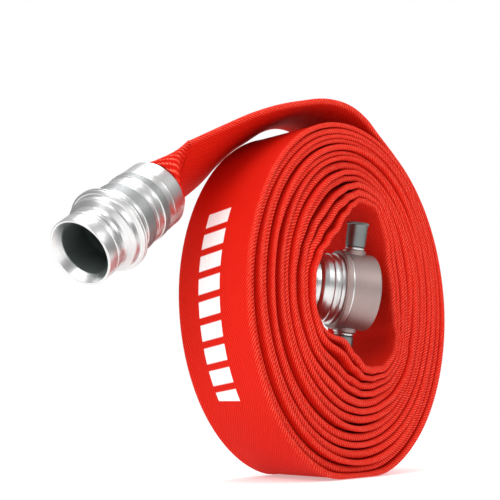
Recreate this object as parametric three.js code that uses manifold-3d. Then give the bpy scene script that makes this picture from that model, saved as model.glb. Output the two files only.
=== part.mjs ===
// A rolled lay-flat fire hose with a male and a female instantaneous coupling.
// Millimetres, +Z up. The roll stands on its tread: X runs across the roll, Y along its axis,
// and the origin is on the ground under the middle of the roll.
import * as THREE from 'three';
import { mergeVertices } from 'three/addons/utils/BufferGeometryUtils.js';
import Module from 'manifold-3d';

// ---------------------------------------------------------------- driving dimensions

const GAP = 0.3; // between pieces that touch

// the hose: 64 mm bore, two walls thick when it lies flat
const HOSE_WIDTH = 104;
const HOSE_WALL = 2.4;
const HOSE_THICK = 2 * HOSE_WALL;

// the roll: turns between the outline of its eye and its outer outline
const EYE = { x: 4, z: 220, halfWidth: 80, halfHeight: 102 };
const EYE_CORNER = { angle: -59, height: 15, spread: 18 }; // the fold in the lower right of the eye
const TREAD = { x: -2, z: 199.3, halfWidth: 184, halfHeight: 205.3 };
const FIRST_ANGLE = 213.75; // degrees, where the innermost turn begins
const LAST_ANGLE = 62 + 14 * 360; // where the outermost turn lifts off
const STEP_ANGLE = 22.5; // two of its stations in each turn stand on the ground
const FLAT_PITCH = 5.2; // pitch of the turns pressed flat on the ground

// the free run: from the liftoff to the male coupling, by hand, with its twist in degrees
const LIFT = [48, 0, 402];
const FREE_ROUTE = [
  { at: LIFT, twist: 0 },
  { at: [26, 0, 414], twist: 1 },
  { at: [1, 0, 421], twist: 2 },
  { at: [-26, 1, 421], twist: 4 },
  { at: [-54, 3, 414], twist: 8 },
  { at: [-82, 7, 401], twist: 14 },
  { at: [-110, 12, 386], twist: 20 },
  { at: [-138, 16, 367], twist: 27 },
  { at: [-168, 19, 344], twist: 34 },
];

// both couplings
const BORE_R = 27.5;
const TAIL_R = 30.5; // tailpiece, outside its barbs
const FERRULE_R = 36;
const FERRULE_WALL = 2.5;
const BARB_PITCH = 12;
const SIDES = 28;

// male coupling: its mouth's centre, and the direction from the mouth to the hose
const MALE_MOUTH = new THREE.Vector3(-345, 6, 216);
const MALE_AXIS = directionOf(8, 36);
const MALE_TWIST = 40; // of the flat hose about this axis, in degrees
const NOSE_R = 33.4;
const MALE_FLANGE_R = 42.5;
const MALE_STEP = 42; // depths behind the mouth: the tailpiece's front,
const MALE_FERRULE = 56; // the ferrule's front,
const MALE_TAIL_END = 113;
const MALE_FERRULE_END = 125;
const MALE_NECK_END = 165; // and where the hose is flat again

// female coupling: the centre of its back ring, and the direction in which its mouth looks
const FEMALE_RING = new THREE.Vector3(15, -15, 213);
const FEMALE_AXIS = directionOf(-31, -5);
const FEMALE_R = 45;
const FEMALE_BORE_R = 42.8;
const FEMALE_BARREL_R = 39.5;
const FEMALE_MOUTH = 34; // positions along the axis, from the back ring
const FEMALE_BACK = -36;
const FEMALE_TAIL_END = -54;

// the two spring plungers of the female coupling, in radii from its axis
const LUG = {
  along: 12,
  lean: 10, // degrees about the coupling's axis
  noseR: 6.3,
  noseIn: 36.5,
  ledge: 43.5,
  collarR: 8.2,
  bossR: 13,
  bossTop: 49,
  bushR: 10,
  bushTop: 61,
  stemR: 3.5,
  stemTop: 77,
  knobR: 12,
  knobBase: 53,
  knobTop: 82,
  pinR: 1.5,
  pinAt: 71,
};

// ---------------------------------------------------------------- colours

const RED = new THREE.MeshStandardMaterial({ color: 0xd2210f, roughness: 0.75, metalness: 0 });
const POLISHED = new THREE.MeshStandardMaterial({ color: 0xdadbd8, roughness: 0.25, metalness: 1 });
const CAST = new THREE.MeshStandardMaterial({ color: 0xa5a39f, roughness: 0.55, metalness: 0.9 });
const DARK = new THREE.MeshStandardMaterial({ color: 0x6f7473, roughness: 0.45, metalness: 0.9 });
const STEEL = new THREE.MeshStandardMaterial({ color: 0xb5b8ba, roughness: 0.3, metalness: 1 });
const RUBBER = new THREE.MeshStandardMaterial({ color: 0x1b1b1c, roughness: 0.8, metalness: 0 });

// ---------------------------------------------------------------- helpers

function radians(degrees) {
  return THREE.MathUtils.degToRad(degrees);
}

// a unit vector turned from +X by yaw about Z, then raised by pitch
function directionOf(yaw, pitch) {
  const level = Math.cos(radians(pitch));
  const turn = radians(yaw);
  return new THREE.Vector3(Math.cos(turn) * level, Math.sin(turn) * level, Math.sin(radians(pitch)));
}

function named(name, geometry, material) {
  const mesh = new THREE.Mesh(geometry, material);
  mesh.name = name;
  return mesh;
}

// a solid of revolution about local Z, from [radius, z] points that close on themselves
function turned(points, sides = SIDES) {
  const profile = points.map(([r, z]) => new THREE.Vector2(r, z));
  profile.push(profile[0].clone());
  const geometry = new THREE.LatheGeometry(profile, sides);
  geometry.rotateX(Math.PI / 2);
  return outward(geometry);
}

// a cylinder along local Z between two heights
function rod(radius, from, to, sides = 20) {
  const geometry = new THREE.CylinderGeometry(radius, radius, to - from, sides);
  geometry.rotateX(Math.PI / 2);
  geometry.translate(0, 0, (from + to) / 2);
  return geometry;
}

// shares the corners of a closed mesh and turns its faces out, by the sign of its volume
function outward(geometry) {
  const closed = merged(geometry);
  const corner = closed.attributes.position;
  const index = closed.index.array;
  const [a, b, c] = [new THREE.Vector3(), new THREE.Vector3(), new THREE.Vector3()];
  let volume = 0;
  for (let i = 0; i < index.length; i += 3) {
    a.fromBufferAttribute(corner, index[i]);
    b.fromBufferAttribute(corner, index[i + 1]);
    c.fromBufferAttribute(corner, index[i + 2]);
    volume += a.dot(b.cross(c));
  }
  if (volume < 0) {
    for (let i = 0; i < index.length; i += 3) {
      [index[i + 1], index[i + 2]] = [index[i + 2], index[i + 1]];
    }
  }
  return closed;
}

function merged(geometry) {
  const bare = geometry.clone();
  bare.deleteAttribute('normal');
  bare.deleteAttribute('uv');
  const shared = mergeVertices(bare, 1e-3);
  const index = shared.index.array;
  const kept = [];
  for (let i = 0; i < index.length; i += 3) {
    const [a, b, c] = [index[i], index[i + 1], index[i + 2]];
    if (a !== b && b !== c && c !== a) kept.push(a, b, c);
  }
  shared.setIndex(kept);
  return shared;
}

const wasm = await Module();
wasm.setup();

function solid(geometry) {
  const closed = merged(geometry);
  return new wasm.Manifold(new wasm.Mesh({
    numProp: 3,
    vertProperties: new Float32Array(closed.attributes.position.array),
    triVerts: new Uint32Array(closed.index.array),
  }));
}

function geometryOf(manifold) {
  const mesh = manifold.getMesh();
  const geometry = new THREE.BufferGeometry();
  geometry.setAttribute('position', new THREE.BufferAttribute(new Float32Array(mesh.vertProperties), 3));
  geometry.setIndex(new THREE.BufferAttribute(new Uint32Array(mesh.triVerts), 1));
  return geometry;
}

// a closed solid through rings of points, with its two ends filled in
function loft(rings) {
  const count = rings[0].length;
  const index = [];
  for (let j = 0; j + 1 < rings.length; j += 1) {
    for (let i = 0; i < count; i += 1) {
      const next = (i + 1) % count;
      const [a, b] = [j * count + i, j * count + next];
      index.push(a, b, a + count, b, b + count, a + count);
    }
  }
  const last = (rings.length - 1) * count;
  for (let i = 1; i + 1 < count; i += 1) {
    index.push(0, i + 1, i, last, last + i, last + i + 1);
  }
  const geometry = new THREE.BufferGeometry();
  const points = rings.flat().flatMap((p) => [p.x, p.y, p.z]);
  geometry.setAttribute('position', new THREE.Float32BufferAttribute(points, 3));
  geometry.setIndex(index);
  return outward(geometry);
}

// ---------------------------------------------------------------- the hose

// a section of the hose: flat with folded edges when it is thin, an ellipse as it opens
function hoseRing({ at, across, out, halfWidth, halfThick }) {
  const flat = 1 - THREE.MathUtils.smoothstep(halfThick, HOSE_WALL, 12);
  const half = 8;
  const ring = [];
  for (let i = 0; i < 2 * half; i += 1) {
    const turn = (i / half) * Math.PI;
    const level = Math.min(1, Math.abs(Math.sin(turn)) * 3);
    const rise = THREE.MathUtils.lerp(Math.abs(Math.sin(turn)), level, flat) * Math.sign(Math.sin(turn));
    ring.push(at.clone()
      .addScaledVector(across, halfWidth * Math.cos(turn))
      .addScaledVector(out, i % half === 0 ? 0 : halfThick * rise));
  }
  return ring;
}

function eyeAt(angle) {
  const fold = THREE.MathUtils.euclideanModulo(angle - EYE_CORNER.angle + 180, 360) - 180;
  const bulge = 1 + (EYE_CORNER.height / EYE.halfHeight) * Math.exp(-((fold / EYE_CORNER.spread) ** 2));
  const turn = radians(angle);
  return new THREE.Vector2(
    EYE.x + EYE.halfWidth * bulge * Math.cos(turn),
    EYE.z + EYE.halfHeight * bulge * Math.sin(turn),
  );
}

function treadAt(angle) {
  const turn = radians(angle);
  return new THREE.Vector2(
    TREAD.x + TREAD.halfWidth * Math.cos(turn),
    TREAD.z + TREAD.halfHeight * Math.sin(turn),
  );
}

// the middle of the hose's thickness in the roll, as x and z, and whether it is pressed flat there
function woundAt(angle) {
  const outwardShare = (angle - FIRST_ANGLE) / (LAST_ANGLE - FIRST_ANGLE);
  const point = eyeAt(angle).lerp(treadAt(angle), outwardShare);
  const turnsOutside = Math.floor((LAST_ANGLE - angle) / 360);
  const lowest = HOSE_WALL + turnsOutside * FLAT_PITCH;
  const pressed = point.y < lowest;
  if (pressed) point.y = lowest;
  return { point, pressed };
}

// the roll's strip seen from its side: along one face of the hose, and back along the other
function hoseRoll() {
  const angles = [];
  for (let angle = FIRST_ANGLE; angle < LAST_ANGLE; angle += STEP_ANGLE) angles.push(angle);
  const stations = [...angles, LAST_ANGLE].map(woundAt);
  const last = stations.at(-1).point;
  const away = new THREE.Vector2(LIFT[0], LIFT[2]).sub(last);
  stations.push({ point: last.clone().addScaledVector(away, 1 - GAP / away.length()), pressed: false });
  const middle = stations.map(({ point }) => point);
  const faces = [-1, 1].map((side) => stations.map(({ point, pressed }, i) => {
    const along = (middle[i + 1] ?? point).clone().sub(middle[i - 1] ?? point).normalize();
    if (pressed) along.set(1, 0);
    return new THREE.Vector2(point.x + side * HOSE_WALL * along.y, point.y - side * HOSE_WALL * along.x);
  }));
  const outline = new THREE.Shape([...faces[0], ...faces[1].reverse()]);
  const geometry = new THREE.ExtrudeGeometry(outline, { depth: HOSE_WIDTH, bevelEnabled: false });
  geometry.rotateX(Math.PI / 2);
  geometry.translate(0, HOSE_WIDTH / 2, 0);
  return outward(geometry);
}

// the hose's frame on its way: `along` is its direction, `across` points to the near edge
function frameAt(at, along, twist) {
  const near = new THREE.Vector3(0, -1, 0);
  const level = near.addScaledVector(along, -near.dot(along)).normalize();
  const above = new THREE.Vector3().crossVectors(along, level).normalize();
  const across = level.clone().multiplyScalar(Math.cos(twist)).addScaledVector(above, Math.sin(twist));
  const out = new THREE.Vector3().crossVectors(across, along).normalize();
  return { at, across, out };
}

function freeRun() {
  const end = MALE_MOUTH.clone().addScaledVector(MALE_AXIS, MALE_NECK_END + GAP);
  const places = [...FREE_ROUTE.map(({ at }) => new THREE.Vector3(...at)), end];
  const twists = [...FREE_ROUTE.map(({ twist }) => twist), MALE_TWIST];
  const rings = places.map((at, i) => {
    let along = (places[i + 1] ?? at).clone().sub(places[i - 1] ?? at).normalize();
    if (at === end) along = MALE_AXIS.clone().negate();
    const frame = frameAt(at, along, radians(twists[i]));
    return hoseRing({ ...frame, halfWidth: HOSE_WIDTH / 2, halfThick: HOSE_WALL });
  });
  return loft(rings);
}

// the hose's end in the male coupling, from flat to round, bored for the tailpiece
function maleNeck() {
  const round = TAIL_R + GAP + HOSE_WALL;
  const stations = [ // depth, half width and half thickness
    [MALE_NECK_END, HOSE_WIDTH / 2, HOSE_WALL],
    [156, 51.5, 5],
    [147, 50, 8.5],
    [139, 46.5, 15.5],
    [132, 41, 24],
    [MALE_FERRULE_END + 2.5, 35, 31.4],
    [MALE_FERRULE_END + GAP, round, round],
    [MALE_FERRULE + 2, round, round],
  ];
  const along = MALE_AXIS.clone().negate();
  const rings = stations.map(([depth, halfWidth, halfThick]) => {
    const at = MALE_MOUTH.clone().addScaledVector(MALE_AXIS, depth);
    return hoseRing({ ...frameAt(at, along, radians(MALE_TWIST)), halfWidth, halfThick });
  });
  const bore = rod(TAIL_R + GAP, -MALE_TAIL_END - 2, -MALE_FERRULE, SIDES).applyMatrix4(maleFrame());
  return geometryOf(solid(loft(rings)).subtract(solid(bore)));
}

// the hose's end in the female coupling: from the innermost turn it folds over and opens
function femaleNeck() {
  const start = woundAt(FIRST_ANGLE).point;
  const next = woundAt(FIRST_ANGLE + STEP_ANGLE).point;
  const back = new THREE.Vector3(start.x - next.x, 0, start.y - next.y).normalize();
  const begin = new THREE.Vector3(start.x, 0, start.y).addScaledVector(back, GAP);
  const near = new THREE.Vector3(0, -1, 0);
  const tail = (along) => FEMALE_RING.clone().addScaledVector(FEMALE_AXIS, along);
  const side = new THREE.Vector3(FEMALE_AXIS.y, -FEMALE_AXIS.x, 0).normalize();
  const round = TAIL_R + GAP + HOSE_WALL;
  const full = { halfWidth: round, halfThick: round, turn: 1 };
  const place = (...xyz) => new THREE.Vector3(...xyz);
  const stations = [
    { at: begin, along: back, halfWidth: HOSE_WIDTH / 2, halfThick: HOSE_WALL, turn: 0 },
    { at: place(-63, 5, 184), along: directionXZ(92), halfWidth: 50.5, halfThick: 6.5, turn: 0.2 },
    { at: place(-59, 12, 201), along: directionXZ(62), halfWidth: 46, halfThick: 15.5, turn: 0.5 },
    { at: place(-52, 20, 212.5), along: directionXZ(24), halfWidth: 37.5, halfThick: 26.5, turn: 0.9 },
    { at: tail(FEMALE_TAIL_END - 4), along: FEMALE_AXIS, ...full },
    { at: tail(FEMALE_BACK - 2), along: FEMALE_AXIS, ...full },
  ];
  const rings = stations.map(({ at, along, halfWidth, halfThick, turn }) => {
    const across = near.clone().lerp(side, turn);
    across.addScaledVector(along, -across.dot(along)).normalize();
    const out = new THREE.Vector3().crossVectors(across, along).normalize();
    return hoseRing({ at, across, out, halfWidth, halfThick });
  });
  const bore = rod(TAIL_R + GAP, FEMALE_TAIL_END - 3, FEMALE_BACK + 6, SIDES).applyMatrix4(femaleFrame());
  return geometryOf(solid(loft(rings)).subtract(solid(bore)));
}

function directionXZ(angle) {
  return new THREE.Vector3(Math.cos(radians(angle)), 0, Math.sin(radians(angle)));
}

// ---------------------------------------------------------------- the couplings' pieces

// local Z points out of the coupling's mouth
function maleFrame() {
  const out = MALE_AXIS.clone().negate();
  const side = new THREE.Vector3(0, 0, 1).cross(out).normalize();
  const up = new THREE.Vector3().crossVectors(out, side);
  return new THREE.Matrix4().makeBasis(up, side.negate(), out).setPosition(MALE_MOUTH);
}

// local Z points out of the mouth, local X along the plungers
function femaleFrame() {
  const side = new THREE.Vector3(0, 0, 1).cross(FEMALE_AXIS).normalize();
  const up = new THREE.Vector3().crossVectors(FEMALE_AXIS, side);
  const lean = radians(LUG.lean);
  const x = up.clone().multiplyScalar(Math.cos(lean)).addScaledVector(side, -Math.sin(lean));
  const y = new THREE.Vector3().crossVectors(FEMALE_AXIS, x);
  return new THREE.Matrix4().makeBasis(x, y, FEMALE_AXIS).setPosition(FEMALE_RING);
}

// the nose, its waist, the flange that the other half's lugs lock behind, and the pocket for the tailpiece
function maleBody() {
  return turned([
    [31, 0], [32.8, 0], [NOSE_R, -1], [NOSE_R, -12], [31.6, -18], [30.9, -24], [31.6, -31],
    [35, -37.5], [40.4, -42], [MALE_FLANGE_R, -43.5], [MALE_FLANGE_R, -48], [41, -49.5],
    [FERRULE_R + 0.6, -50], [FERRULE_R, -51], [FERRULE_R, -MALE_FERRULE], [TAIL_R + GAP, -MALE_FERRULE],
    [TAIL_R + GAP, -MALE_STEP], [26.5, -MALE_STEP], [26.5, -9],
  ]);
}

// a tube with saw-toothed barbs that hold the hose
function tailpiece(front, back, firstBarb) {
  const barbs = [];
  const count = Math.round((firstBarb - back) / BARB_PITCH);
  for (let i = 0; i < count; i += 1) {
    const z = firstBarb - (i * (firstBarb - back - 2)) / count;
    barbs.push([TAIL_R, z], [TAIL_R - 0.9, z - 0.6]);
  }
  return turned([[BORE_R, front], [TAIL_R, front], ...barbs, [TAIL_R - 1, back], [BORE_R, back]]);
}

// a plain sleeve with two raised knurled bands
function maleFerrule() {
  const inner = FERRULE_R - FERRULE_WALL;
  const front = -MALE_FERRULE - GAP;
  return turned([
    [inner, front], [FERRULE_R, front], [FERRULE_R, -59], [FERRULE_R + 0.6, -59.6],
    [FERRULE_R + 0.6, -72.4], [FERRULE_R - 0.2, -73], [FERRULE_R - 0.2, -88], [FERRULE_R + 0.6, -88.6],
    [FERRULE_R + 0.6, -97.4], [FERRULE_R, -98], [FERRULE_R, -MALE_FERRULE_END], [inner, -MALE_FERRULE_END],
  ]);
}

// the socket, its collar and barrel, the seal's seat, and two bosses bored for the plungers
function femaleBody() {
  const shell = solid(turned([
    [FEMALE_BORE_R, 31], [43.4, FEMALE_MOUTH], [44.4, FEMALE_MOUTH], [FEMALE_R, FEMALE_MOUTH - 1],
    [FEMALE_R, 0],
    [FEMALE_R + 1.5, -0.8], [FEMALE_R + 1.5, -7.2], [FEMALE_R + 0.6, -8], [FEMALE_BARREL_R, -9],
    [FEMALE_BARREL_R, -16], [FEMALE_BARREL_R + 1.2, -17], [FEMALE_BARREL_R + 1.2, -21],
    [FEMALE_BARREL_R, -22], [FEMALE_BARREL_R, -28], [FEMALE_BARREL_R - 1, FEMALE_BACK + 2],
    [FERRULE_R + 0.4, FEMALE_BACK], [TAIL_R + GAP, FEMALE_BACK], [TAIL_R + GAP, -29.5],
    [36.8, -29.5], [36.8, -24], [34.2, -24], [34.2, -4], [FEMALE_BORE_R, -4],
  ]));
  let body = shell;
  for (const side of [1, -1]) {
    body = body.add(solid(radial(rod(LUG.bossR, FEMALE_R - 1.6, LUG.bossTop, 28), side)));
  }
  for (const side of [1, -1]) {
    body = body.subtract(solid(radial(rod(LUG.noseR + GAP, 30, LUG.ledge + 1, 24), side)));
    body = body.subtract(solid(radial(rod(LUG.collarR + GAP, LUG.ledge, LUG.bossTop + 5, 24), side)));
  }
  return geometryOf(body);
}

// stands a piece made along local Z on one of the two plunger axes
function radial(geometry, side) {
  geometry.rotateY((side * Math.PI) / 2);
  geometry.translate(0, 0, LUG.along);
  return geometry;
}

function lugPlunger() {
  return turned([
    [0, LUG.noseIn], [LUG.noseR - 2, LUG.noseIn], [LUG.noseR, LUG.noseIn + 3], [LUG.noseR, LUG.ledge + GAP],
    [LUG.collarR, LUG.ledge + GAP], [LUG.collarR, LUG.ledge + 3], [LUG.stemR, LUG.ledge + 3],
    [LUG.stemR, LUG.stemTop], [0, LUG.stemTop],
  ], 20);
}

// the bright neck under each knob: a cup that closes the spring chamber
function lugBush() {
  const lip = 2.5;
  return turned([
    [LUG.collarR + GAP, LUG.bossTop + GAP], [LUG.bushR + 1.4, LUG.bossTop + GAP],
    [LUG.bushR + 1.4, LUG.bossTop + 2.4], [LUG.bushR, LUG.bossTop + 3.2], [LUG.bushR, LUG.bushTop],
    [LUG.stemR + GAP, LUG.bushTop], [LUG.stemR + GAP, LUG.bushTop - lip],
    [LUG.collarR + GAP, LUG.bushTop - lip],
  ], 24);
}

class Helix extends THREE.Curve {
  constructor(radius, from, to, turns) {
    super();
    Object.assign(this, { radius, from, to, turns });
  }

  getPoint(share, target = new THREE.Vector3()) {
    const turn = share * this.turns * 2 * Math.PI;
    const height = THREE.MathUtils.lerp(this.from, this.to, share);
    return target.set(this.radius * Math.cos(turn), this.radius * Math.sin(turn), height);
  }
}

function lugSpring() {
  const wireR = 0.6;
  const turns = 5;
  const low = LUG.ledge + 3 + GAP + wireR;
  const high = LUG.bushTop - 2.5 - GAP - wireR;
  const wire = new THREE.Shape().absarc(0, 0, wireR, 0, 2 * Math.PI);
  const path = new Helix(6, low, high, turns);
  return outward(new THREE.ExtrudeGeometry(wire, {
    curveSegments: 3, steps: turns * 10, extrudePath: path, bevelEnabled: false,
  }));
}

// the pull knob: a sleeve over the bush, drilled for the stem and for its cross pin
function lugKnob() {
  const roof = LUG.bushTop + 2;
  const shape = turned([
    [LUG.bushR + 0.5, LUG.knobBase], [LUG.knobR - 0.6, LUG.knobBase], [LUG.knobR, LUG.knobBase + 1],
    [LUG.knobR, LUG.knobTop - 3.5], [LUG.knobR + 0.7, LUG.knobTop - 3], [LUG.knobR + 0.7, LUG.knobTop - 0.8],
    [LUG.knobR - 0.4, LUG.knobTop], [0, LUG.knobTop], [0, LUG.stemTop + GAP],
    [LUG.stemR + GAP, LUG.stemTop + GAP],
    [LUG.stemR + GAP, roof], [LUG.bushR + 0.5, roof],
  ], 28);
  return geometryOf(solid(shape).subtract(solid(crossPin(LUG.pinR + GAP, 40))));
}

function crossPin(radius, length) {
  const geometry = new THREE.CylinderGeometry(radius, radius, length, 12);
  geometry.translate(0, 0, LUG.pinAt);
  return geometry;
}

function drilledPlunger() {
  return geometryOf(solid(lugPlunger()).subtract(solid(crossPin(LUG.pinR + GAP, 30))));
}

// ---------------------------------------------------------------- the assembly

const group = new THREE.Group();

group.add(named('hose_roll', hoseRoll(), RED));
group.add(named('hose_free_run', freeRun(), RED));
group.add(named('hose_male_end', maleNeck(), RED));
group.add(named('hose_female_end', femaleNeck(), RED));

const male = new THREE.Group();
male.applyMatrix4(maleFrame());
male.add(named('male_coupling_body', maleBody(), POLISHED));
male.add(named('male_tailpiece', tailpiece(-MALE_STEP - GAP, -MALE_TAIL_END, -60), POLISHED));
male.add(named('male_ferrule', maleFerrule(), POLISHED));
group.add(male);

const female = new THREE.Group();
female.applyMatrix4(femaleFrame());
female.add(named('female_coupling_body', femaleBody(), CAST));
female.add(named('female_tailpiece', tailpiece(-29.8, FEMALE_TAIL_END, -38), POLISHED));
female.add(named('female_ferrule', turned([
  [FERRULE_R - FERRULE_WALL, FEMALE_BACK - GAP], [FERRULE_R, FEMALE_BACK - GAP], [FERRULE_R, FEMALE_BACK - 5],
  [FERRULE_R + 1, FEMALE_BACK - 6], [FERRULE_R + 1, FEMALE_BACK - 11], [FERRULE_R, FEMALE_BACK - 12],
  [FERRULE_R, FEMALE_TAIL_END], [FERRULE_R - FERRULE_WALL, FEMALE_TAIL_END],
]), POLISHED));
female.add(named('female_seal', turned([
  [28.5, -29.2], [36.5, -29.2], [36.5, -24.3], [33, -24.3], [31, -26], [28.5, -25],
]), RUBBER));
for (const [number, side] of [[1, 1], [2, -1]]) {
  female.add(named(`lug_plunger_${number}`, radial(drilledPlunger(), side), STEEL));
  female.add(named(`lug_spring_${number}`, radial(lugSpring(), side), STEEL));
  female.add(named(`lug_bush_${number}`, radial(lugBush(), side), POLISHED));
  female.add(named(`lug_knob_${number}`, radial(lugKnob(), side), DARK));
  female.add(named(`lug_pin_${number}`, radial(crossPin(LUG.pinR, 2 * LUG.knobR - 0.6), side), STEEL));
}
group.add(female);

export default group;
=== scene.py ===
# %% [markdown]
# # A rolled fire hose
# A lay-flat hose is wound up from its female coupling outwards and stands on its tread. Its last stretch
# lifts off the top of the roll, twists, and hangs down to the male coupling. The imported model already
# holds every size, place and joint, so this lesson only gives each piece its real surface.

# %% Load the frame
import math

import bmesh
import bpy
from mathutils import Matrix, Vector, noise


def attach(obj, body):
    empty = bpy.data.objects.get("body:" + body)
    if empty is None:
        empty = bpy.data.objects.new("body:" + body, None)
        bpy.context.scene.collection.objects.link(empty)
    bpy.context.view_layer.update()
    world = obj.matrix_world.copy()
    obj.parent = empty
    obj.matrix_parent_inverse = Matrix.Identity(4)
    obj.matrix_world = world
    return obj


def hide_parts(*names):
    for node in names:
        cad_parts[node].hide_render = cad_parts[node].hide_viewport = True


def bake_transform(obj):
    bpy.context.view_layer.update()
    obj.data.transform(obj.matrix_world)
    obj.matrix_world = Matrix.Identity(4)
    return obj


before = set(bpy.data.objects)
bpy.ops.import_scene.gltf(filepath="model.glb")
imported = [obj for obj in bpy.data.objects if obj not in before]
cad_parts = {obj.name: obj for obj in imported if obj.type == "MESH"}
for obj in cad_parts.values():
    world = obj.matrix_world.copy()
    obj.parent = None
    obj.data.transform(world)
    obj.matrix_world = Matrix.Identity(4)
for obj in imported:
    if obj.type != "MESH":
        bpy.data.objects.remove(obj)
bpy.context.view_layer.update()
MM = 0.001

# %% [markdown]
# ## Camera, floor and light
# The camera stands low and close, in front of the roll's left side, and looks slightly up. A pale floor
# under a white sky gives soft light from everywhere, which darkens the gaps between turns by itself. Three
# large soft lamps add the shape: from the left for the tread and the metal, from the front, and from above.

# %% Camera and studio
CAMERA_PLACE = Vector((-0.8293, -0.6549, 0.0841))
CAMERA_LOOK = Vector((0.7225, 0.6714, 0.1652))
CAMERA_LENS = 64.8
LAMP_TARGET = (0, 0, 0.2)


def stand_camera():
    data = bpy.data.cameras.new("camera")
    data.lens = CAMERA_LENS
    camera = bpy.data.objects.new("camera", data)
    camera.location = CAMERA_PLACE
    camera.rotation_euler = CAMERA_LOOK.to_track_quat("-Z", "Y").to_euler()
    bpy.context.scene.collection.objects.link(camera)
    bpy.context.scene.camera = camera


def hang_lamp(name, place, size, power):
    data = bpy.data.lights.new(name, "AREA")
    data.size = size
    data.energy = power
    lamp = bpy.data.objects.new(name, data)
    lamp.location = place
    lamp.rotation_euler = (Vector(LAMP_TARGET) - Vector(place)).to_track_quat("-Z", "Y").to_euler()
    bpy.context.scene.collection.objects.link(lamp)


stand_camera()
hang_lamp("left_softbox", (-1.7, -0.5, 1.3), size=1.1, power=23)
hang_lamp("front_softbox", (0.4, -2.1, 1.5), size=1.2, power=17)
hang_lamp("top_softbox", (0.1, 0.3, 2.0), size=1.0, power=13)
bpy.context.scene.view_settings.view_transform = "Standard"
print("camera at", tuple(round(c, 3) for c in CAMERA_PLACE))

# %% [markdown]
# ## Node arithmetic
# Shader and geometry trees are full of small sums. One class holds an output socket and overloads the
# operators, so a formula reads as it would on paper, and one method makes any other node.


# %% A socket that can be added and multiplied
class Wire:
    """An output socket of a node tree, and the sums that it takes part in."""

    def __init__(self, tree, socket):
        self.tree = tree
        self.socket = socket

    def node(self, kind, settings, sockets, output=0):
        made = self.tree.nodes.new(kind)
        for name, value in settings.items():
            setattr(made, name, value)
        for name, value in sockets.items():
            if isinstance(value, Wire):
                self.tree.links.new(value.socket, made.inputs[name])
            else:
                made.inputs[name].default_value = value
        return Wire(self.tree, made.outputs[output])

    def math(self, operation, *values):
        return self.node("ShaderNodeMath", {"operation": operation}, dict(enumerate(values)))

    def __add__(self, other):
        return self.math("ADD", self, other)

    def __radd__(self, other):
        return self.math("ADD", other, self)

    def __sub__(self, other):
        return self.math("SUBTRACT", self, other)

    def __rsub__(self, other):
        return self.math("SUBTRACT", other, self)

    def __mul__(self, other):
        return self.math("MULTIPLY", self, other)

    def __rmul__(self, other):
        return self.math("MULTIPLY", other, self)

    def __truediv__(self, other):
        return self.math("DIVIDE", self, other)

    def __mod__(self, other):
        return self.math("FLOORED_MODULO", self, other)

    def clamped(self):
        return self.math("MINIMUM", self.math("MAXIMUM", self, 0.0), 1.0)

    def wave(self):
        """A ridge from 0 to 1 and back for each whole step of this value."""
        return 0.5 + 0.5 * self.math("COSINE", self * math.tau)

    def between(self, low, high, soft):
        """1 where this value is between low and high, with edges that soft wide."""
        rise = ((self - low) / soft + 0.5).clamped()
        fall = ((high - self) / soft + 0.5).clamped()
        return rise * fall

    def parts(self):
        return [self.node("ShaderNodeSeparateXYZ", {}, {0: self}, axis) for axis in range(3)]

    def scaled(self, factor):
        return self.node("ShaderNodeVectorMath", {"operation": "SCALE"}, {"Vector": self, "Scale": factor})

    def plus(self, other):
        return self.node("ShaderNodeVectorMath", {"operation": "ADD"}, {0: self, 1: other})

    def speckle(self, scale, detail):
        """Noise from 0 to 1 over the places that this vector gives."""
        sockets = {"Vector": self, "Scale": scale, "Detail": detail}
        return self.node("ShaderNodeTexNoise", {}, sockets, "Fac")

    def bump(self, strength, distance):
        """The normal of a surface that this height raises."""
        sockets = {"Strength": strength, "Distance": distance, "Height": self}
        return self.node("ShaderNodeBump", {}, sockets)


def mixed(mask, low, high):
    """A colour that goes from low to high as mask goes from 0 to 1."""
    return mask.node("ShaderNodeMix", {"data_type": "RGBA"}, {0: mask, 6: low, 7: high}, 2)


def plug(shader, name, value):
    if isinstance(value, Wire):
        value.tree.links.new(value.socket, shader.inputs[name])
    else:
        shader.inputs[name].default_value = value


# %% [markdown]
# ## The sky
# Polished metal only looks like metal when it has something darker to mirror. The sky is white to look at,
# but the light that it gives is grey at the horizon and bright overhead, as in a room with a lit ceiling.


# %% White sky, grey room
HORIZON_GLOW, OVERHEAD_GLOW = 0.17, 0.62  # at the horizon, and what is added overhead


def white_room():
    world = bpy.data.worlds.new("white_room")
    world.use_nodes = True
    background = world.node_tree.nodes["Background"]
    wire = Wire(world.node_tree, background.outputs[0])
    height = wire.node("ShaderNodeTexCoord", {}, {}, "Generated").parts()[2]
    seen = wire.node("ShaderNodeLightPath", {}, {}, "Is Camera Ray")
    glow = HORIZON_GLOW + OVERHEAD_GLOW * (height * 1.3 + 0.1).clamped()
    plug(background, "Color", (1, 1, 1, 1))
    plug(background, "Strength", glow + seen * (1.0 - glow))
    bpy.context.scene.world = world


white_room()
print("sky ready")

# %% [markdown]
# ## Sizes
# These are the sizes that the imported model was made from, in metres. The frame holds the finished pieces,
# but not the path of the hose, so the path's few driving values are repeated here.

# %% The hose and its roll
HOSE_WIDTH = 104 * MM
HOSE_WALL = 2.4 * MM
EYE_CENTRE, EYE_HALF = (4 * MM, 220 * MM), (80 * MM, 102 * MM)
TREAD_CENTRE, TREAD_HALF = (-2 * MM, 199.3 * MM), (184 * MM, 205.3 * MM)
FIRST_ANGLE = 213.75
LAST_ANGLE = 62 + 14 * 360
WOUND_ANGLE = LAST_ANGLE - FIRST_ANGLE
STEPS_PER_TURN = 120
FLAT_PITCH = 5.2 * MM

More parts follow.
